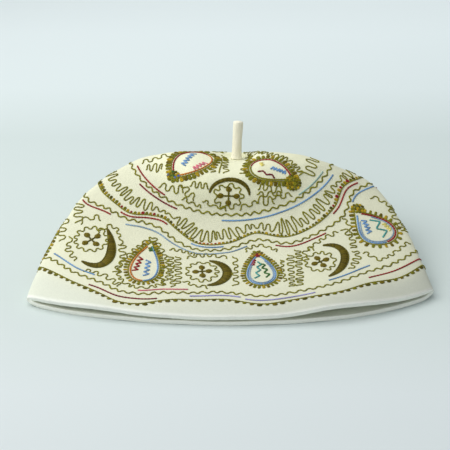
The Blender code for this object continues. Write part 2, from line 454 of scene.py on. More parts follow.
class Patch:
    """A flat patch of the pattern between a foot and a head point; y runs from foot to head, in metres.

    Points x, y are carried to share and angle by the felt's own slopes at the middle of the patch,
    or near the crown straight across the disc that polar_to_flat gives.
    """

    def __init__(self, foot, head, folded=False):
        shares, angles = np.array([foot, head], float).T
        self.crown, self.folded = shares[0] < POLAR_SHARE, folded
        if self.crown:
            flat = polar_to_flat(shares, angles)
            self.middle, way = flat.mean(axis=0), flat[1] - flat[0]
            self.height = float(np.hypot(*way)) * MERIDIAN
            self.up = way / np.hypot(*way)
            self.right = np.array([-self.up[1], self.up[0]])
            return
        ends, _ = felt_map.place(shares, angles)
        self.height = float(np.linalg.norm(ends[1] - ends[0]))
        self.share, self.angle = shares.sum() / 2, angles.sum() / 2
        _, normal = felt_map.place(self.share, self.angle)
        upward = (ends[1] - ends[0]) / self.height
        across = np.cross(upward, normal)
        self.across = across / np.linalg.norm(across)
        self.upward = np.cross(normal, self.across)

    def at(self, x, y):
        """Share and angle of patch points."""
        x, y = np.asarray(x, float), np.asarray(y, float)
        if self.crown:
            spot = self.middle + (x[..., None] * self.right + y[..., None] * self.up) / MERIDIAN
            return flat_to_polar(spot[..., 0], spot[..., 1])
        if self.folded:
            radius = felt_map.ring_radius(self.share)
            return self.share - y / MERIDIAN / FOLD_SLACK, self.angle - np.degrees(x / radius)
        offset = x[..., None] * self.across + y[..., None] * self.upward
        share = np.full(x.shape, self.share)
        return felt_map.move(share, np.full(x.shape, self.angle), offset)


# points to a wave of a winding line, the steps along its guide and along a chain, and a thread's lift
BEND_POINTS = 28
WINDING_STEP = 0.0005
CHAIN_STEP = 0.0007
THREAD_LIFT = 0.00015


def meander(share, angle, swing, wavelength, sway, jitter, closed=False):
    """A winding line round a guide path: its heading swings as a sine, so its bends overhang.

    Each bend is made larger or smaller, and moved along and aside, by random shares.
    """
    share, angle, length = smooth_path(share, angle, WINDING_STEP)
    cycles = max(int(round(length[-1] / wavelength)), 1)
    drift = 0.6 * jitter
    t = np.arange(cycles * BEND_POINTS + 1) / BEND_POINTS
    heading = sway * np.sin(2 * math.pi * t)
    ahead = np.concatenate([[0], np.cumsum(np.cos(heading[:-1]))])
    aside = np.concatenate([[0], np.cumsum(np.sin(heading[:-1]))])
    ahead = ahead / ahead[-1] * length[-1]
    aside = (aside - aside.mean()) / (np.ptp(aside) / 2)
    sizes = 1 + jitter * rng.uniform(-1, 1, cycles + 2)
    leans = drift * rng.uniform(-1, 1, cycles + 2)
    shifts = drift * wavelength * rng.uniform(-1, 1, cycles + 2)
    if closed:
        shifts[0] = shifts[cycles] = 0
        sizes[cycles], leans[cycles] = sizes[0], leans[0]
    bends = np.arange(cycles + 2)
    ahead = np.clip(ahead + np.interp(t, bends, shifts), 0, length[-1])
    base_angle = np.interp(ahead, length, angle)
    reach = swing(base_angle) if callable(swing) else swing
    aside = (aside * np.interp(t, bends, sizes) + np.interp(t, bends, leans)) * reach
    centre, normal = felt_map.place(share, angle)
    along = np.gradient(centre, axis=0)
    side = np.cross(normal, along)
    side /= np.linalg.norm(side, axis=1, keepdims=True) + 1e-12
    turned = np.stack([np.interp(ahead, length, side[:, k]) for k in range(3)], axis=-1)
    base_share = np.interp(ahead, length, share)
    return felt_map.move(base_share, base_angle, aside[:, None] * turned)


def chain(path, width=THREAD, colour=OLIVE, group=None):
    """A line of chain stitch: a tube whose width and painted shade go as a cosine, one wave to a stitch."""
    share, angle, length = smooth_path(*path, CHAIN_STEP)
    centre, normal = felt_map.place(share, angle, THREAD_LIFT)
    phase = rng.uniform(0, 1)
    beat = np.cos(2 * math.pi * (length / STITCH + phase))
    radius = width / 2 * (1 + STITCH_SWELL * beat)
    dye = np.sin(2 * math.pi * (length / DYE_LENGTH + 3 * phase))
    # painted shade between stitches, times the dye's slow drift
    shade = (1 + STITCH_PAINTED_SHADE * beat) * (1 + DYE_DRIFT * dye)
    if group is None:
        group = winding if colour is OLIVE else coloured
    group.tube(centre, normal, radius, colour * shade[:, None])


def squiggle(path, swing, wavelength, jitter, sway=1.35, closed=False, width=FREEHAND_THREAD, group=None):
    """A freehand winding line of chain stitch round a guide path."""
    chain(meander(*path, swing, wavelength, sway, jitter, closed), width=width, group=group)


# the places below were picked in the photo and turned into share and angle on the cap's form;
# those on the lower layer repeat the front's.
# angle, dots2, wave2, wave3, dots3: shares of the scalloped bands at drops and crescents
BANDS = (
    (190, 0.475, 0.525, 0.850, 0.870),
    (178, 0.500, 0.556, 0.812, 0.853),
    (160, 0.503, 0.533, 0.840, 0.882),
    (148, 0.502, 0.529, 0.860, 0.916),
    (139, 0.476, 0.512, 0.891, 0.954),
    (130, 0.467, 0.513, 0.892, 0.954),
    (120, 0.500, 0.552, 0.872, 0.918),
    (108, 0.550, 0.590, 0.860, 0.902),
    (92, 0.538, 0.573, 0.852, 0.896),
    (76, 0.487, 0.524, 0.880, 0.930),
    (62, 0.535, 0.575, 0.868, 0.916),
    (48, 0.528, 0.566, 0.858, 0.914),
    (30, 0.495, 0.545, 0.824, 0.882),
    (16, 0.463, 0.499, 0.820, 0.888),
    (0, 0.500, 0.535, 0.812, 0.868),
    (-33, 0.470, 0.522, 0.880, 0.930),
    (-58, 0.540, 0.590, 0.850, 0.900),
    (-82, 0.470, 0.522, 0.880, 0.935),
    (-106, 0.540, 0.590, 0.850, 0.900),
    (-131, 0.470, 0.522, 0.880, 0.930),
    (-155, 0.530, 0.575, 0.840, 0.890),
)
DOTS2, WAVE2, WAVE3, DOTS3 = 1, 2, 3, 4

# zigzags in a drop: start x, y and end x, y as shares of its width and height, swing, turns, colour
SIDE_ZIGZAGS = ((-0.16, 0.10, -0.28, -0.24, 0.09, 4, RED),
                (0.10, 0.04, 0.08, -0.34, 0.09, 4, BLUE))
MIDDLE_ZIGZAGS = ((0.00, 0.20, -0.16, -0.28, 0.07, 3, TEAL),
                  (0.06, 0.16, 0.20, -0.26, 0.08, 3, GREEN),
                  (-0.16, 0.28, -0.24, 0.10, 0.06, 3, RED))
RIGHT_ZIGZAGS = ((-0.10, 0.22, -0.22, -0.14, 0.07, 4, BLUE),
                 (0.14, 0.16, 0.10, -0.34, 0.11, 2, TEAL),
                 (0.28, -0.04, 0.32, -0.24, 0.06, 3, YELLOW))
LEFT_CROWN_ZIGZAGS = ((-0.30, 0.06, -0.30, -0.24, 0.08, 4, PINK),
                      (0.02, 0.12, 0.26, -0.30, 0.08, 5, BLUE))
RIGHT_CROWN_ZIGZAGS = ((-0.10, -0.06, -0.07, 0.26, 0.07, 5, BLUE),
                       (-0.22, -0.30, -0.10, -0.24, 0.05, 3, YELLOW),
                       (0.16, -0.28, 0.24, 0.10, 0.05, 2, MAROON))

# foot, head (share, angle), widest, lean of the head, taper, colours inside left and right, zigzags,
# tip cluster x, y (shares), reach and colours, knots' pitch, size and rows, surround, folded over an edge
SIDE_TIP = (0.13, 0.33, 0.0034, (GREEN, GREEN, OLIVE))
MIDDLE_TIP = (-0.04, 0.42, 0.0036, (RED, MAROON, ORANGE))
SMALL_BEADS, CROWN_BEADS = (0.0024, 0.0011, 2), (0.0026, 0.0014, 2)
PAISLEYS = (
    ((0.834, 187), (0.610, 187), 0.0200, 0.10, 1.0, (BLUE, RED),
     SIDE_ZIGZAGS, SIDE_TIP, SMALL_BEADS, 0.0, True),
    ((0.824, 130), (0.596, 132), 0.0202, 0.12, 1.0, (ORANGE, BLUE),
     SIDE_ZIGZAGS, SIDE_TIP, SMALL_BEADS, 0.0056),
    ((0.814, 76), (0.604, 77), 0.0208, -0.08, 1.1, (BLUE, BLUE),
     MIDDLE_ZIGZAGS, MIDDLE_TIP, SMALL_BEADS, 0.0),
    ((0.738, 15), (0.556, 20), 0.0262, -0.28, 1.2, (BLUE, RED), RIGHT_ZIGZAGS,
     (0.02, 0.52, 0.0048, (GOLD, OLIVE, DARK_OLIVE)), (0.0034, 0.0012, 2), 0.0),
    ((0.815, -33), (0.610, -33), 0.0210, 0.12, 1.0, (ORANGE, BLUE),
     SIDE_ZIGZAGS, SIDE_TIP, SMALL_BEADS, 0.0),
    ((0.815, -82), (0.610, -82), 0.0210, -0.08, 1.1, (BLUE, RED),
     MIDDLE_ZIGZAGS, MIDDLE_TIP, SMALL_BEADS, 0.0),
    ((0.815, -131), (0.610, -131), 0.0210, 0.12, 1.0, (TEAL, BLUE),
     SIDE_ZIGZAGS, SIDE_TIP, SMALL_BEADS, 0.0),
    ((0.100, 160), (0.293, 144), 0.0236, -0.14, 0.7, (ORANGE, RED), LEFT_CROWN_ZIGZAGS,
     (-0.04, 0.46, 0.0044, (GREEN, OLIVE, DEEP_BLUE, GOLD, DARK_OLIVE)), CROWN_BEADS, 0.0),
    ((0.138, 60), (0.313, 34), 0.0210, 0.12, 0.9, (RED, OLIVE), RIGHT_CROWN_ZIGZAGS,
     (0.16, 0.50, 0.0060, (GOLD, OLIVE, DARK_OLIVE, OLIVE)), CROWN_BEADS, 0.0),
    ((0.120, -40), (0.310, -45), 0.0200, 0.20, 1.0, (RED, BLUE),
     SIDE_ZIGZAGS, SIDE_TIP, CROWN_BEADS, 0.0056),
    ((0.120, -130), (0.310, -128), 0.0200, 0.20, 1.0, (BLUE, TEAL),
     MIDDLE_ZIGZAGS, SIDE_TIP, CROWN_BEADS, 0.0056),
)

# foot and head of the arc, sagitta, lean, thickest, and its flower: share, angle, reach, ring radius, turn
CRESCENTS = (
    ((0.779, 160.5), (0.606, 155), 0.0172, -0.0085, 0.0052, (0.676, 160.5, 0.0052, 0.0104, 57)),
    ((0.812, 100.5), (0.655, 100.5), 0.0150, 0.0000, 0.0050, (0.728, 103.5, 0.0044, 0.0097, 8)),
    ((0.810, 46.5), (0.634, 45.5), 0.0150, 0.0045, 0.0044, (0.718, 49.0, 0.0044, 0.0094, 20)),
    ((0.780, -9), (0.620, -9), 0.0140, 0.0000, 0.0050, (0.702, -7.0, 0.0044, 0.0094, 20)),
    ((0.780, -58), (0.620, -58), 0.0140, 0.0000, 0.0050, (0.702, -56.0, 0.0044, 0.0094, 0)),
    ((0.780, -106), (0.620, -106), 0.0140, 0.0000, 0.0050, (0.702, -104.0, 0.0044, 0.0094, 30)),
    ((0.780, -155), (0.620, -155), 0.0140, 0.0000, 0.0050, (0.702, -153.0, 0.0044, 0.0094, 10)),
    ((0.290, 74), (0.282, 108.5), 0.0132, 0.0000, 0.0020, (0.287, 92.0, 0.0058, 0.0094, 0)),
)

# winding lines: three points (share, angle) that each passes, its swing and wavelength
LEFT_WINDINGS = (
    ((0.575, 177), (0.611, 175), (0.637, 171), 0.0024, 0.0068),
    ((0.635, 171), (0.605, 167), (0.578, 162), 0.0022, 0.0064),
    ((0.650, 179), (0.700, 177), (0.730, 174), 0.0020, 0.0064),
    ((0.700, 171), (0.750, 169), (0.784, 163), 0.0016, 0.0062),
    ((0.640, 160), (0.585, 153), (0.650, 145), 0.0014, 0.0062),
    ((0.650, 145), (0.720, 142), (0.795, 143), 0.0022, 0.0058),
    ((0.815, 158), (0.820, 148), (0.862, 139), 0.0016, 0.0062),
    ((0.711, 122), (0.768, 122), (0.830, 120), 0.0013, 0.0044),
    ((0.655, 120), (0.749, 118), (0.835, 116), 0.0018, 0.0046),
    ((0.645, 116), (0.729, 115), (0.815, 114), 0.0018, 0.0050),
    ((0.612, 122), (0.612, 115), (0.622, 108), 0.0015, 0.0048),
    ((0.790, 111), (0.815, 107), (0.822, 100), 0.0014, 0.0054),
)
MIDDLE_WINDINGS = (
    ((0.651, 112), (0.622, 103), (0.632, 92), 0.0014, 0.0056),
    ((0.625, 88), (0.717, 88), (0.810, 88), 0.0017, 0.0062),
    ((0.590, 84), (0.560, 76), (0.612, 67), 0.0012, 0.0058),
    ((0.665, 66), (0.737, 67), (0.800, 66), 0.0013, 0.0046),
    ((0.645, 62), (0.737, 63), (0.840, 63), 0.0020, 0.0050),
    ((0.617, 58), (0.721, 59), (0.840, 60), 0.0019, 0.0046),
    ((0.700, 57), (0.630, 54), (0.640, 50), 0.0013, 0.0058),
)
RIGHT_WINDINGS = (
    ((0.639, 54), (0.605, 45), (0.596, 36), 0.0014, 0.0060),
    ((0.596, 33), (0.660, 31), (0.700, 32), 0.0018, 0.0056),
    ((0.703, 32), (0.737, 31), (0.790, 36), 0.0022, 0.0060),
    ((0.733, 28), (0.788, 20), (0.775, 3), 0.0012, 0.0062),
    ((0.557, 9), (0.633, 3), (0.730, 3), 0.0016, 0.0066),
    ((0.545, 30), (0.600, 29), (0.640, 31), 0.0010, 0.0056),
)
CROWN_WINDINGS = (
    ((0.353, 146), (0.340, 137), (0.312, 129), 0.0023, 0.0050),
    ((0.288, 131), (0.321, 124), (0.332, 117), 0.0022, 0.0060),
    ((0.275, 127), (0.262, 118), (0.250, 111), 0.0021, 0.0046),
    ((0.350, 126), (0.358, 118), (0.360, 110), 0.0011, 0.0052),
    ((0.322, 112), (0.345, 103), (0.352, 92), 0.0014, 0.0056),
    ((0.345, 84), (0.340, 76), (0.325, 68), 0.0018, 0.0060),
    ((0.320, 69), (0.338, 63), (0.348, 56), 0.0028, 0.0060),
    ((0.290, 68), (0.310, 60), (0.335, 50), 0.0012, 0.0050),
    ((0.257, 65), (0.288, 57), (0.318, 48), 0.0022, 0.0056),
    ((0.325, 58), (0.350, 52), (0.357, 44), 0.0015, 0.0060),
    ((0.357, 172), (0.311, 170), (0.240, 171), 0.0024, 0.0060),
    ((0.355, 164), (0.322, 161), (0.290, 156), 0.0026, 0.0044),
    ((0.064, 210), (0.060, 140), (0.165, 96), 0.0022, 0.0052),
    ((0.080, 150), (0.112, 128), (0.180, 114), 0.0018, 0.0042),
    ((0.330, 2), (0.330, 15), (0.345, 26), 0.0046, 0.0084),
    ((0.095, 8), (0.150, 14), (0.215, 18), 0.0017, 0.0040),
    ((0.215, 18), (0.262, 22), (0.318, 27), 0.0016, 0.0040),
    ((0.072, -30), (0.075, 30), (0.178, 74), 0.0024, 0.0046),
    ((0.360, -10), (0.320, -20), (0.350, -60), 0.0030, 0.0062),
    ((0.350, -64), (0.300, -85), (0.350, -110), 0.0034, 0.0062),
    ((0.350, -116), (0.340, -150), (0.340, -178), 0.0030, 0.0062),
    ((0.140, -85), (0.190, -88), (0.250, -85), 0.0050, 0.0056),
    ((0.120, -5), (0.200, -12), (0.280, -8), 0.0040, 0.0056),
    ((0.130, -178), (0.200, -172), (0.280, -172), 0.0040, 0.0056),
)
# the middle's winding lines again on the lower layer, turned by these angles, no further than the limit
BACK_TURNS = (-109, -158, -207, -256)
BACK_LIMIT = -178
FREEHAND = {"jitter": 0.4, "sway": 1.5}

# coloured lines round the crown: from and to angle, share, colour
CROWN_LINES = (
    (12, 96, 0.415, BLUE),
    (126, 157, 0.408, MAROON),
    (138, 170, 0.379, RED),
    (14, 40, 0.380, FADED_TEAL),
    (-90, -10, 0.418, RED),
    (-172, -112, 0.420, BLUE),
)

# coloured lines along a scalloped band: from and to angle, share from the band, colour, band
UPPER_LINES = (
    (82, 148, 0.024, FADED_BLUE, WAVE2),
    (42, 68, 0.020, RED, WAVE2),
    (127, 154, 0.013, RED, DOTS2),
    (158, 177, 0.014, RED, WAVE2),
    (8, 33, 0.014, RED, DOTS2),
    (94, 111, 0.016, BLUE, DOTS2),
    (2, 20, 0.014, BLUE, WAVE2),
    (-30, 0, 0.018, RED, WAVE2),
    (-100, -50, 0.020, BLUE, WAVE2),
    (-170, -130, 0.014, RED, DOTS2),
)
LOWER_LINES = (
    (152, 175, -0.024, BLUE, WAVE3),
    (27, 47, -0.026, BLUE, WAVE3),
    (122, 153, 0.032, MAROON, WAVE3),
    (-2, 29, 0.030, RED, WAVE3),
    (54, 84, 0.028, LILAC, WAVE3),
    (86, 108, 0.020, LILAC, WAVE3),
    (109, 131, -0.020, PINK, WAVE3),
    (-60, -10, -0.020, RED, WAVE3),
    (-130, -80, 0.030, BLUE, WAVE3),
    (-175, -140, 0.028, MAROON, WAVE3),
)

# the ring round the crown: its share in front, and how much further it lies at the folds
RING_SHARE = 0.384
RING_FLARE = 0.012

# the tall loops, in shares: height, highest top, foot over the knots; how far they sink, and a wave's length
TALL_LOOPS = 0.076
TALL_TOP = 0.434
TALL_FOOT = 0.018
TALL_SINK = 0.62
TALL_WAVE = 0.0049
# angle and spread of the stretches where they sink
LOW_STRETCHES = ((77, 9), (126, 5), (-60, 8), (-140, 10))

# the even winding lines' swing and wavelength, and the two bands of knots: spacing and size
WAVE_SWING = 0.0009
WAVE_LENGTH = 0.0062
UPPER_KNOTS = (0.0026, 0.0011)
RIM_KNOTS = (0.0048, 0.0013)

# where the upper band's knots are red, or partly red: from and to angle
RED_STRETCHES = ((96, 108), (-70, -55))
MIXED_STRETCHES = ((134, 160), (8, 30))


def band(kind, angle):
    """Share of a scalloped band at each angle."""
    return between_rows(BANDS, np.asarray(angle, float), wrap=360.0)[..., kind]


def through(points):
    """A smooth path through a few share, angle points."""
    rows = [(k, *polar_to_flat(*point)) for k, point in enumerate(points)]
    path = between_rows(rows, np.linspace(0, len(rows) - 1, 80))
    share, angle = flat_to_polar(path[:, 1], path[:, 2])
    return share, np.degrees(np.unwrap(np.radians(angle)))


# satin threads: a pitch apart, each humped over the felt and sunk at its ends; a crescent's blunt tip
SATIN_PITCH = 0.00055
SATIN_HUMP = 0.0007
SATIN_SUNK = 0.0003
BLUNT_TIP = 0.0006

# a petal's half length and half width, the turns of its thread and its hump
PETAL = (0.0023, 0.0018)
PETAL_TURNS = 2.8
PETAL_HUMP = 0.0005

# a knot: its thread's radius as a share of its size, and its lift off the felt
KNOT_THREAD = 0.48
KNOT_LIFT = 0.0002

# rings of knots in a drop's tip: between the rings, between the knots, and a knot's size
CLUSTER_RINGS = 0.0018
CLUSTER_PITCH = 0.0020
CLUSTER_KNOT = 0.00115

# squiggled circles round flowers and drops: swing and wavelength
FLOWER_SQUIGGLE = (0.0012, 0.0056)
DROP_SQUIGGLE = (0.0012, 0.0052)

# a line inside a drop: lower and narrower by, share of the lean kept, sunk by
INNER_LINE = (0.0036, 0.0030, 0.9, 0.0004)
PALE_LINE = (0.0072, 0.0056, 0.8, 0.0008)


def arc_points(chord, sagitta, lean, count):
    """A circular arc from (0, -chord/2) to (0, chord/2) bulging to +x, its middle pushed along y by lean."""
    radius = chord ** 2 / (8 * sagitta) + sagitta / 2
    half = 2 * math.atan(2 * sagitta / chord)
    turn = np.linspace(-half, half, count)
    points = np.stack([np.cos(turn), np.sin(turn)], axis=-1) * radius + [sagitta - radius, 0]
    points[:, 1] += lean * points[:, 0] / sagitta
    return points


def side_of(points):
    """Unit directions to the right of a path's way, for points x, y."""
    along = np.gradient(points, axis=0)
    along /= np.hypot(along[:, 0], along[:, 1])[:, None] + 1e-12
    return np.stack([along[:, 1], -along[:, 0]], axis=-1)


def evenly(points, step):
    """The same path with points a step apart."""
    length = np.concatenate([[0], np.cumsum(np.hypot(*np.diff(points, axis=0).T))])
    at = np.linspace(0, length[-1], max(int(length[-1] / step), 2))
    return np.stack([np.interp(at, length, points[:, k]) for k in range(2)], axis=-1)


def crescent(foot, head, sagitta, lean, thickest):
    """A satin crescent: short threads side by side across an arc that is thickest in the middle."""
    patch = Patch(foot, head)
    outer = evenly(arc_points(patch.height, sagitta, lean, 300), SATIN_PITCH)
    out = side_of(outer)
    t = np.linspace(0, 1, len(outer))
    thick = thickest * np.sin(math.pi * t) ** 0.75 + BLUNT_TIP
    across = np.linspace(0, 1, 7)
    hump = SATIN_HUMP * np.sin(math.pi * across) ** 0.6 - SATIN_SUNK
    for k in range(len(outer)):
        reach = thick[k] * (1 + 0.05 * rng.uniform(-1, 1))
        line = outer[k] - out[k] * (across[:, None] * reach)
        centre, normal = felt_map.place(*patch.at(line[:, 0], line[:, 1]), lift=hump)
        shade = SATIN_OLIVE * rng.uniform(0.50, 1.05)
        satin.tube(centre, normal, SATIN_PITCH * 0.66, shade, flat=0.8, sides=4)
    for edge in (outer, outer - out * thick[:, None]):
        chain(patch.at(*edge.T), width=FINE_THREAD, colour=DARK_OLIVE)


def petal(patch, x, y, long, wide, turn):
    """A small leaf of thread: a spiral that fills an ellipse, highest in its middle."""
    t = np.linspace(0, 1, 44)
    reach = np.linspace(0.06, 0.94, len(t))
    spin = 2 * math.pi * PETAL_TURNS * t
    a, b = long * reach * np.cos(spin), wide * reach * np.sin(spin)
    c, s = math.cos(turn), math.sin(turn)
    lift = PETAL_HUMP * (1 - reach ** 2)
    centre, normal = felt_map.place(*patch.at(x + a * c - b * s, y + a * s + b * c), lift=lift)
    shade = 1 + 0.25 * np.sin(spin * 1.7 + rng.uniform(0, 6))[:, None]
    satin.tube(centre, normal, 0.26 * min(long, wide) + 0.0001, SATIN_OLIVE * shade, flat=0.8, sides=4)


def flower(share, angle, reach, ring, turn):
    """Four small petals in a cross on thin stems, inside a squiggled circle of radius ring."""
    patch = Patch((share + 0.02, angle), (share - 0.02, angle))
    for k in range(4):
        way = math.radians(turn) + k * math.pi / 2
        petal(patch, reach * math.cos(way), reach * math.sin(way), *PETAL, way)
        ray = np.linspace(0.0, 1.0, 10) * reach
        chain(patch.at(ray * math.cos(way), ray * math.sin(way)), width=THICK_THREAD, colour=DARK_OLIVE)
    t = np.linspace(0, 2 * math.pi, 90)
    squiggle(patch.at(ring * np.cos(t), ring * np.sin(t)), *FLOWER_SQUIGGLE, jitter=0.35, closed=True)


def drop_outline(height, widest, lean, taper):
    """A drop: round foot, pointed head leaning aside. x is sin t times sin(t/2) to the taper, y is cos t.

    The lean is added to x, and grows as a power of the height above the middle.
    """
    t = np.linspace(0, 2 * math.pi, 161)
    girth = np.sin(t) * np.abs(np.sin(t / 2)) ** taper
    y = height / 2 * np.cos(t)
    x = widest / 2 * girth / girth.max() + lean * widest * np.clip(0.15 + y / height, 0, 1) ** 1.7
    return np.stack([x, y], axis=-1)


def inside_drop(height, widest, lean, taper, inset):
    """A drop's outline drawn in by an inset, for a line inside it."""
    lower, narrower, kept, sunk = inset
    return drop_outline(height - lower, widest - narrower, lean * kept, taper) - [0, sunk]


def zigzag(start, end, aside, turns):
    """A zigzag between two points: straight steps that swing aside by turns."""
    start, end = np.array(start), np.array(end)
    t = np.linspace(0, 1, turns * 2 + 1)
    swing = aside * np.where(np.arange(len(t)) % 2, 1.0, -1.0)
    fine = np.linspace(0, 1, turns * 12)
    way = end - start
    normal = np.array([-way[1], way[0]]) / np.hypot(*way)
    return start + fine[:, None] * way + np.interp(fine, t, swing)[:, None] * normal


def knot(patch, x, y, size, colour):
    """One small loop of thread: a circle that starts at a random turn."""
    turn = np.linspace(0, 2 * math.pi, 9) + rng.uniform(0, 6)
    path = patch.at(x + size * 0.5 * np.cos(turn), y + size * 0.5 * np.sin(turn))
    centre, normal = felt_map.place(*path, lift=KNOT_LIFT)
    knots.tube(centre, normal, size * KNOT_THREAD, colour * rng.uniform(0.85, 1.25), flat=0.7, sides=4)


def knots_along(patch, path, pitch, size, colours, away):
    """Small round knots beside a path, one every pitch, on its outer side by away."""
    even = evenly(path, pitch)
    out = side_of(even)
    out *= np.sign((out * (even - path.mean(axis=0))).sum(-1))[:, None]
    for k, (x, y) in enumerate(even + out * away):
        knot(patch, x, y, size * rng.uniform(0.8, 1.2), colours[k % len(colours)])


def cluster(patch, x, y, reach, colours):
    """Knots packed in rings round a point, out to reach."""
    turn = 0
    for ring in np.arange(0.0, reach, CLUSTER_RINGS):
        count = max(int(2 * math.pi * ring / CLUSTER_PITCH), 1)
        for k in range(count):
            way = 2 * math.pi * k / count + ring * 900
            colour = colours[turn % len(colours)]
            knot(patch, x + ring * math.cos(way), y + ring * math.sin(way), CLUSTER_KNOT, colour)
            turn += 1


def paisley(foot, head, widest, lean, taper, inside, zigzags, tip, beads, surround, folded=False):
    """A drop motif: chained outline with knots round it, bare felt and coloured zigzags inside."""
    patch = Patch(foot, head, folded)
    h, w = patch.height, widest
    outline = drop_outline(h, w, lean, taper)
    half = len(outline) // 2
    chain(patch.at(*outline.T))
    inner = inside_drop(h, w, lean, taper, INNER_LINE)
    chain(patch.at(*inner[14:half].T), width=THICK_THREAD, colour=inside[1])
    chain(patch.at(*inner[half:-14].T), width=THICK_THREAD, colour=inside[0])
    if inside[0] is BLUE:
        pale = inside_drop(h, w, lean, taper, PALE_LINE)
        chain(patch.at(*pale[24:-24].T), colour=FADED_BLUE)
    pitch, size, rows = beads
    for row in range(rows):
        away = 0.0002 + size * (0.8 + row)
        knots_along(patch, outline, pitch, size, (OLIVE, SATIN_OLIVE, GOLD, OLIVE), away)
    for x0, y0, x1, y1, swing, turns, colour in zigzags:
        line = zigzag((x0 * w, y0 * h), (x1 * w, y1 * h), swing * w, turns)
        chain(patch.at(*line.T), width=THICK_THREAD, colour=colour)
    cluster(patch, tip[0] * w, tip[1] * h, *tip[2:])
    if surround:
        ring = drop_outline(h + 2 * surround, w + 2 * surround, lean, taper)
        squiggle(patch.at(*ring[5:-5].T), *DROP_SQUIGGLE, jitter=0.45)


def knotted_ring(share, spacing, size, colours, side, long=0.5):
    """A chained ring with a knot at each spacing, on the side of the crown (-1) or of the rim (1).

    long is a knot's half length along the ring, as a share of its size.
    """
    chain((share, around), width=RING_THREAD, group=bands)
    even_share, even_angle, length = smooth_path(share, around, 0.0006)
    count = int(length[-1] / spacing)
    at = (np.arange(count) + 0.5) * length[-1] / count
    turn = np.linspace(0, 2 * math.pi, 9)
    for k, here in enumerate(at):
        base_share, base_angle = np.interp(here, length, even_share), np.interp(here, length, even_angle)
        reach = size * rng.uniform(0.8, 1.2)
        radius = felt_map.ring_radius(base_share)
        loop_share = base_share + (side * 0.9 + 0.3 / long * np.sin(turn)) * reach / MERIDIAN
        loop_angle = base_angle + np.degrees(reach * long * np.cos(turn) / radius)
        centre, normal = felt_map.place(loop_share, loop_angle, lift=KNOT_LIFT)
        tone = colours(base_angle, k) * rng.uniform(0.8, 1.15)
        knots.tube(centre, normal, reach * KNOT_THREAD, tone, flat=0.7, sides=4)


def wavy_ring(share):
    """A low, even winding line all round, at a share for each angle."""
    look = {"jitter": 0.2, "sway": 0.8, "width": BAND_THREAD, "group": bands}
    squiggle((share, around), WAVE_SWING, WAVE_LENGTH, **look)


def coloured_line(low, high, share, colour, kind=None):
    """A coloured line between two angles, at a share of its own or at that share from a scalloped band."""
    angle = np.linspace(low, high, 160)
    base = band(kind, angle) if kind else np.zeros(len(angle))
    chain((base + share, angle), width=BAND_THREAD, colour=colour)


def tall_room(angle):
    """Half the height that the tall loops have at an angle; Gaussian bells sink them in some stretches."""
    top = np.maximum(TALL_TOP, band(DOTS2, angle) - TALL_LOOPS)
    room = (band(DOTS2, angle) - TALL_FOOT - top) * MERIDIAN / 2
    low = sum(np.exp(-((np.asarray(angle) - place) / spread) ** 2) for place, spread in LOW_STRETCHES)
    return room * (1 - TALL_SINK * np.clip(low, 0, 1))


def dot_colours(angle, k):
    """Knots of the upper band: red and orange in a few stretches, else olive."""
    turn = (angle + 180) % 360 - 180
    if any(low < turn < high for low, high in RED_STRETCHES):
        return (ORANGE, RED)[k % 2]
    if any(low < turn < high for low, high in MIXED_STRETCHES):
        return (OLIVE, RED, GOLD)[k % 3]
    return (OLIVE, GOLD, DARK_OLIVE)[k % 3]


def rim_dot_colours(angle, k):
    """Knots of the lowest band: three olives by turns, at every angle."""
    return (SATIN_OLIVE, OLIVE, DARK_OLIVE)[k % 3]


around = np.linspace(-180, 180, 721)
dots2, wave2 = band(DOTS2, around), band(WAVE2, around)
wave3, dots3 = band(WAVE3, around), band(DOTS3, around)

# the ring round the crown and its coloured lines
wavy_ring(RING_SHARE + RING_FLARE * np.cos(np.radians(around)) ** 2)
for row in CROWN_LINES:
    coloured_line(*row)

# tall loops over the upper band of knots
middle = (np.maximum(TALL_TOP, dots2 - TALL_LOOPS) + dots2 - TALL_FOOT) / 2
squiggle((middle, around), tall_room, TALL_WAVE, jitter=0.5, sway=1.45, group=bands)

# the scalloped bands above and below the motifs
knotted_ring(dots2, *UPPER_KNOTS, dot_colours, -1)
wavy_ring(wave2)
for row in UPPER_LINES:
    coloured_line(*row)
wavy_ring(wave3)
for row in LOWER_LINES:
    coloured_line(*row)
knotted_ring(dots3, *RIM_KNOTS, rim_dot_colours, 1, long=0.8)

# the motifs, and winding lines in the room between them
for row in PAISLEYS:
    paisley(*row)
for foot, head, sagitta, lean, thickest, bloom in CRESCENTS:
    crescent(foot, head, sagitta, lean, thickest)
    flower(*bloom)
for row in LEFT_WINDINGS + MIDDLE_WINDINGS + RIGHT_WINDINGS + CROWN_WINDINGS:
    squiggle(through(row[:3]), *row[3:], **FREEHAND)
for turned in BACK_TURNS:
    for row in MIDDLE_WINDINGS:
        path = [(share, angle + turned) for share, angle in row[:3]]
        if min(angle for _, angle in path) > BACK_LIMIT:
            squiggle(through(path), *row[3:], **FREEHAND)
chain(through(((0.085, 150), (0.100, 118), (0.172, 106))))


class Value:
    """A shader number that adds, subtracts and multiplies as a number does."""

    def __init__(self, tree, socket):
        self.tree, self.socket = tree, socket

    def _join(self, kind, a, b):
        node = self.tree.nodes.new("ShaderNodeMath")
        node.operation = kind
        for slot, term in zip(node.inputs, (a, b)):
            if isinstance(term, Value):
                self.tree.links.new(term.socket, slot)
            else:
                slot.default_value = term
        return Value(self.tree, node.outputs[0])

    def __add__(self, other):
        return self._join("ADD", self, other)

    __radd__ = __add__

    def __mul__(self, other):
        return self._join("MULTIPLY", self, other)

    __rmul__ = __mul__

    def __sub__(self, other):
        return self._join("SUBTRACT", self, other)

    def __rsub__(self, other):
        return self._join("SUBTRACT", other, self)


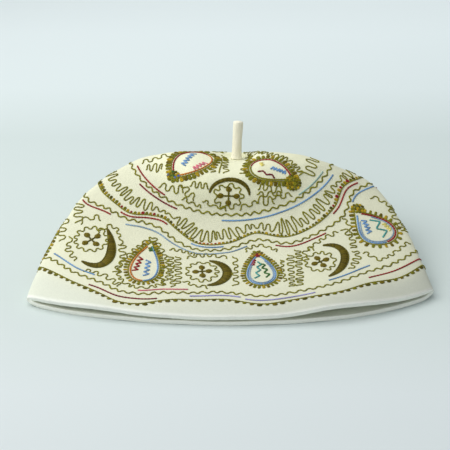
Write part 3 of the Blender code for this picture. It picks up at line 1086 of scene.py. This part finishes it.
class Finish:
    """A material under construction: make() adds a node, value() wraps one of its outputs."""

    def __init__(self, name, **constants):
        self.material = bpy.data.materials.new(name)
        self.material.use_nodes = True
        self.tree = self.material.node_tree
        self.shader = self.tree.nodes["Principled BSDF"]
        for socket, value in constants.items():
            self.shader.inputs[socket.replace("_", " ")].default_value = value

    def make(self, kind, settings=None, **sockets):
        """A node of a type, its settings set first, then its socket values or links.

        A socket goes by its name, or as i and its number where names repeat.
        """
        node = self.tree.nodes.new(kind)
        for key, value in (settings or {}).items():
            if key == "stops":
                self.set_stops(node.color_ramp.elements, value)
            else:
                setattr(node, key, value)
        for key, value in sockets.items():
            slot = node.inputs[int(key[1:])] if key[0] == "i" and key[1:].isdigit() else node.inputs[key]
            source = getattr(value, "socket", value)
            if isinstance(source, bpy.types.NodeSocket):
                self.tree.links.new(source, slot)
            else:
                slot.default_value = source
        return node

    @staticmethod
    def set_stops(steps, stops):
        """Gives a colour ramp its stops, each a position from 0 to 1 and a colour."""
        for position, _ in stops[1:-1]:
            steps.new(position)
        for step, (_, colour) in zip(steps, stops):
            step.color = (*colour, 1.0)

    def value(self, node, output=0):
        """One output of a node, as a number to reckon with."""
        return Value(self.tree, node.outputs[output])

    def noise(self, where, scale, detail, rough=0.6):
        """Noise centred on zero, from -0.5 to 0.5."""
        node = self.make("ShaderNodeTexNoise", Vector=where, Scale=scale, Detail=detail, Roughness=rough)
        return self.value(node) - 0.5

    def feed(self, socket, value):
        """Links a value or a node's output to a socket of the shader."""
        self.tree.links.new(getattr(value, "socket", value), self.shader.inputs[socket])

    def bump(self, height, distance, strength):
        """Relief on the normals, from a height times a distance in metres."""
        node = self.make("ShaderNodeBump", Height=height, Distance=distance, Strength=strength)
        self.feed("Normal", node.outputs[0])

    def mesh_tone(self):
        """The colours that the mesh itself carries."""
        return self.make("ShaderNodeAttribute", {"attribute_name": "tone"}).outputs["Color"]

    def tinted(self, colour, lightness):
        """Base colour: a colour times a shader value."""
        grey = self.make("ShaderNodeCombineColor", i0=lightness, i1=lightness, i2=lightness)
        node = self.make("ShaderNodeMix", {"data_type": "RGBA", "blend_type": "MULTIPLY"}, i0=1.0,
                         i6=colour, i7=grey.outputs[0])
        self.feed("Base Color", node.outputs[2])


def felt_finish(name):
    """Felted wool: its colour from the mesh, faint mottling, a fibrous nap and a soft sheen."""
    f = Finish(name, Roughness=0.92, Specular_IOR_Level=0.15, Sheen_Weight=0.12, Sheen_Roughness=0.5)
    where = f.make("ShaderNodeTexCoord").outputs["Object"]
    broad = f.noise(where, scale=45.0, detail=4.0)
    nap = f.noise(where, scale=900.0, detail=4.0, rough=0.65)
    warped = f.make("ShaderNodeTexWave", {"wave_type": "BANDS", "bands_direction": "DIAGONAL"},
                    Vector=where, Scale=260.0, Distortion=14.0, Detail=3.0)
    fibre = f.value(warped, 1) - 0.5
    f.tinted(f.mesh_tone(), 1.0 + broad * 0.10 + nap * 0.14)
    f.bump(broad * 0.5 + nap * 0.6 + fibre * 0.25, distance=0.00035, strength=0.75)
    return f.material


def thread_finish(name):
    """Twisted cotton thread, its colour from the mesh."""
    f = Finish(name, Roughness=0.6, Specular_IOR_Level=0.2, Sheen_Weight=0.05)
    where = f.make("ShaderNodeTexCoord").outputs["Object"]
    fuzz = f.noise(where, scale=2400.0, detail=2.0)
    f.tinted(f.mesh_tone(), 1.0 + fuzz * 0.55)
    f.bump(fuzz, distance=0.0002, strength=0.6)
    return f.material


PLAIN_FELT = np.array([0.750, 0.778, 0.655])
STITCHED_FELT = np.array([0.785, 0.785, 0.592])
# the crown's paler felt is painted light
CROWN_FELT_PAINTED_LIGHT = np.array([0.885, 0.885, 0.640])
# the cut edge's paler felt is a painted highlight
CUT_FELT_PAINTED_HIGHLIGHT = np.array([0.900, 0.920, 0.840])
# the stalk's felt is brightened past the cap's: painted light
STALK_COLOUR_PAINTED_LIGHT = np.array([0.98, 0.94, 0.76])

# where the felt's tones change, as shares, and over what share (the crown's painted light, the cut edge's
# painted highlight); how much painted shade darkens the plain and the stitched felt toward the right
STITCHED_PAST_BAND = 0.008
STITCHED_FADE = 0.016
PAINTED_LIGHT_CROWN_SHARE = 0.33
PAINTED_LIGHT_CROWN_FADE = 0.03
PAINTED_HIGHLIGHT_SHARE = 0.985
PLAIN_PAINTED_SHADE = 0.13
STITCHED_PAINTED_SHADE = 0.02

felt = felt_finish("cap_felt_cloth")
stalk_felt = felt_finish("stalk_felt_cloth")
thread = thread_finish("embroidery_thread")


def felt_tone(share, angle):
    """Felt colour on the outer face: creamier where stitched, palest at the crown by painted light, darker
    toward the right by painted shade, and paler at the cut edge by a painted highlight.

    The tones blend by logistic steps in the share, and the painted shade goes as one plus the angle's
    cosine.
    """
    stitched = 1 / (1 + np.exp((share - band(DOTS3, angle) - STITCHED_PAST_BAND) / STITCHED_FADE))[..., None]
    # painted highlight: the felt pales at the cut edge
    painted_highlight = np.clip((share - PAINTED_HIGHLIGHT_SHARE) / (1 - PAINTED_HIGHLIGHT_SHARE), 0, 1)[..., None]
    tone = PLAIN_FELT + (STITCHED_FELT - PLAIN_FELT) * stitched
    # painted light: the felt pales toward the crown
    crown = 1 / (1 + np.exp((share - PAINTED_LIGHT_CROWN_SHARE) / PAINTED_LIGHT_CROWN_FADE))[..., None]
    tone = tone + (CROWN_FELT_PAINTED_LIGHT - tone) * crown
    # painted shade: the felt darkens toward the right fold, most on the plain felt below the stitching
    grey = PLAIN_PAINTED_SHADE + (STITCHED_PAINTED_SHADE - PLAIN_PAINTED_SHADE) * stitched
    grey = grey * (1 + np.cos(np.radians(angle)))[..., None]
    return (tone + (CUT_FELT_PAINTED_HIGHLIGHT - tone) * painted_highlight) * (1 - grey)


# the felt's skin: columns and rows, its first ring, columns crowded to the folds, the rim's round and fray
SKIN_COLUMNS = 336
OUTER_ROWS = 150
INNER_ROWS = 70
FIRST_SHARE = 0.004
CROWDING = 0.28
RIM_ROUND = 0.0007
RIM_FRAY = 0.00012


def felt_shell():
    """Outer face, rounded cut rim and inner face of the felt, one closed skin.

    The rim goes from face to face as a cosine, and outward as a low power of the sine.
    """
    t = np.arange(SKIN_COLUMNS) / SKIN_COLUMNS * 2 * math.pi
    angle = np.degrees(t - CROWDING * np.sin(2 * t))
    whole = np.ones(SKIN_COLUMNS)
    outer_share = np.linspace(FIRST_SHARE, 1.0, OUTER_ROWS)
    inner_share = np.linspace(1.0, FIRST_SHARE, INNER_ROWS)
    outer = np.array([felt_map.place(s * whole, angle)[0] for s in outer_share])
    inner = np.array([felt_map.place(s * whole, angle, lift=-FELT)[0] for s in inner_share])
    _, normal = felt_map.place(whole, angle)
    down = felt_map.look(felt_map.down, whole, angle)
    fray = RIM_FRAY * rng.uniform(-1, 1, SKIN_COLUMNS)
    middle = (outer[-1] + inner[0]) / 2
    rim = []
    for part in np.linspace(0, math.pi, 9)[1:-1]:
        ahead = RIM_ROUND * math.sin(part) ** 0.6 + fray
        rim.append(middle + normal * (FELT / 2 * math.cos(part)) + down * ahead[:, None])
    skin = np.concatenate([outer, np.array(rim), inner])
    points, faces = closed_skin(skin, outer[0].mean(axis=0), inner[-1].mean(axis=0))
    tones = np.concatenate([
        felt_tone(outer_share[:, None], angle[None, :]).reshape(-1, 3),
        # the rounded cut rim carries the painted highlight colour
        np.tile(CUT_FELT_PAINTED_HIGHLIGHT, (len(rim) * SKIN_COLUMNS, 1)),
        np.tile(PLAIN_FELT, (len(inner) * SKIN_COLUMNS, 1)),
        [STITCHED_FELT, PLAIN_FELT]])
    return add_mesh("felt_shell", points, faces, felt, tones)


# height (share) and girth (share of the radius) of the stalk's side, foot to top
STALK_PROFILE = ((0.00, 1.22), (0.06, 1.10), (0.16, 1.00), (0.55, 0.96), (0.90, 1.04), (1.00, 1.00))
STALK_SIDES = 48
STALK_UNEVEN = 0.02


def stalk_skin():
    """The stalk: a profile turned about its leaning axis, slightly uneven, its top a low dome.

    The dome's height goes as the sine of an angle and its radius as the cosine to a low power.
    """
    centre, across, forward, along = stalk_frame()
    seat = centre + along * (FELT / 2)
    share = np.linspace(0, 1, 60)
    profile = np.array(STALK_PROFILE)
    girth = np.interp(share, profile[:, 0], profile[:, 1])
    girth = np.convolve(np.pad(girth, 2, mode="edge"), np.ones(5) / 5, "valid")
    height = STALK_GAP + share * (STALK_LENGTH - STALK_GAP - STALK_DOME)
    rise = np.radians(np.linspace(0, 90, 12)[1:-1])
    height = np.concatenate([height, STALK_LENGTH - STALK_DOME * (1 - np.sin(rise))])
    girth = np.concatenate([girth, girth[-1] * np.cos(rise) ** 0.6])
    turn = 2 * math.pi * np.arange(STALK_SIDES) / STALK_SIDES
    ripple = 1 + STALK_UNEVEN * np.sin(3 * turn[None, :] + 340 * height[:, None])
    radius = STALK_RADIUS * girth[:, None] * ripple
    outward = np.cos(turn)[:, None] * across + np.sin(turn)[:, None] * forward
    spine = seat + height[:, None] * along
    skin = spine[:, None, :] + radius[..., None] * outward
    points, faces = closed_skin(skin, spine[0], seat + STALK_LENGTH * along)
    # the stalk's colour carries painted light
    return add_mesh("felt_stalk", points, faces, stalk_felt, np.tile(STALK_COLOUR_PAINTED_LIGHT, (len(points), 1)))


shell, stalk = felt_shell(), stalk_skin()
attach(shell, "root")
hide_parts("felt_body")
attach(stalk, "root")
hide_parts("stalk")
for name, group in (("winding_lines", winding), ("band_lines", bands), ("coloured_lines", coloured),
                    ("satin_crescents_and_petals", satin), ("knotted_loops", knots)):
    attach(group.build(name, thread), "root")


# y on the floor in metres (the cap's middle is 0), and the paper's colour there: painted shade darker
# from the cap to behind it, painted light paler far back
FLOOR_TONES_PAINTED_SHADE_AND_LIGHT = (
    (-0.30, (0.730, 0.790, 0.800)),
    (-0.15, (0.730, 0.790, 0.800)),
    (-0.05, (0.660, 0.735, 0.715)),
    (0.08, (0.660, 0.740, 0.725)),
    (0.19, (0.665, 0.745, 0.735)),
    (0.29, (0.780, 0.860, 0.865)),
    (0.42, (0.850, 0.930, 0.940)),
    (0.80, (0.870, 0.940, 0.950)),
)
# painted light along x: the paper's change of tone per metre, paler to the right, and its least and most
FLOOR_PAINTED_LIGHT_SLOPE = 0.45
FLOOR_PAINTED_LIGHT_LEAST = 0.85
FLOOR_PAINTED_LIGHT_MOST = 1.15
FLOOR_HALF = 4.0


def floor_sheet():
    """A wide pale floor, its tone a ramp in y times a straight drift in x, as the photo's background has:
    painted shade and painted light on an evenly coloured paper.
    """
    corners = ((-1, -1, 0), (1, -1, 0), (1, 1, 0), (-1, 1, 0))
    points = FLOOR_HALF * np.array(corners, float)
    paper = Finish("studio_paper_painted_light", Roughness=0.95, Specular_IOR_Level=0.05)
    where = paper.make("ShaderNodeTexCoord").outputs["Object"]
    place = paper.make("ShaderNodeSeparateXYZ", Vector=where)
    near, far = FLOOR_TONES_PAINTED_SHADE_AND_LIGHT[0][0], FLOOR_TONES_PAINTED_SHADE_AND_LIGHT[-1][0]
    reach = (paper.value(place, 1) - near) * (1 / (far - near))
    stops = [((y - near) / (far - near), colour) for y, colour in FLOOR_TONES_PAINTED_SHADE_AND_LIGHT]
    # the ramp and the drift paint shade and light onto the paper's colour
    ramp = paper.make("ShaderNodeValToRGB", {"stops": stops}, Fac=reach)
    drift = 1.0 + paper.value(place, 0) * FLOOR_PAINTED_LIGHT_SLOPE
    side = paper.make("ShaderNodeClamp", Value=drift, Min=FLOOR_PAINTED_LIGHT_LEAST, Max=FLOOR_PAINTED_LIGHT_MOST)
    paper.tinted(ramp.outputs[0], paper.value(side))
    add_mesh("studio_floor", points, [np.array([[0, 1, 2, 3]])], paper.material)


# name, place, target, size, power and colour of each light
LIGHTS = (
    ("key_light", (-0.52, 0.00, 0.51), (0.0, 0.0, 0.02), 0.6, 3.2, (1.0, 0.995, 0.97)),
    ("top_light", (-0.15, 0.40, 1.20), (0.0, 0.20, 0.0), 0.9, 6.0, (0.98, 1.0, 1.0)),
    ("front_light", (-0.30, -1.10, 0.30), (0.0, 0.0, 0.05), 0.8, 1.8, (1.0, 1.0, 0.98)),
)
AIR_COLOUR = (0.93, 0.97, 1.0, 1.0)
AIR_STRENGTH = 0.34


def soft_light(name, place, target, size, power, colour):
    """A square area light aimed at a point."""
    light = bpy.data.lights.new(name, "AREA")
    light.size, light.energy, light.color = size, power, colour
    lamp = bpy.data.objects.new(name, light)
    lamp.location = place
    lamp.rotation_euler = (Vector(target) - Vector(place)).to_track_quat("-Z", "Y").to_euler()
    bpy.context.scene.collection.objects.link(lamp)


floor_sheet()
for row in LIGHTS:
    soft_light(*row)
world = bpy.data.worlds.new("studio_air")
world.use_nodes = True
air = world.node_tree.nodes["Background"]
air.inputs["Color"].default_value = AIR_COLOUR
air.inputs["Strength"].default_value = AIR_STRENGTH
bpy.context.scene.world = world
bpy.context.scene.view_settings.view_transform = "Standard"

CAMERA_TARGET = Vector((0.0, -0.0067, 0.018))
CAMERA_DISTANCE = 0.850
CAMERA_RISE = math.radians(30)
LENS_MM = 103.03
FILM_MM = 36.0
SHIFT_X = -0.0133
SHIFT_Y = 0.0356
lens = bpy.data.cameras.new("photo_camera")
lens.lens, lens.sensor_width = LENS_MM, FILM_MM
lens.shift_x, lens.shift_y = SHIFT_X, SHIFT_Y
camera = bpy.data.objects.new("photo_camera", lens)
back = Vector((0.0, -math.cos(CAMERA_RISE), math.sin(CAMERA_RISE)))
camera.location = CAMERA_TARGET + back * CAMERA_DISTANCE
camera.rotation_euler = (-back).to_track_quat("-Z", "Y").to_euler()
bpy.context.scene.collection.objects.link(camera)
bpy.context.scene.camera = camera
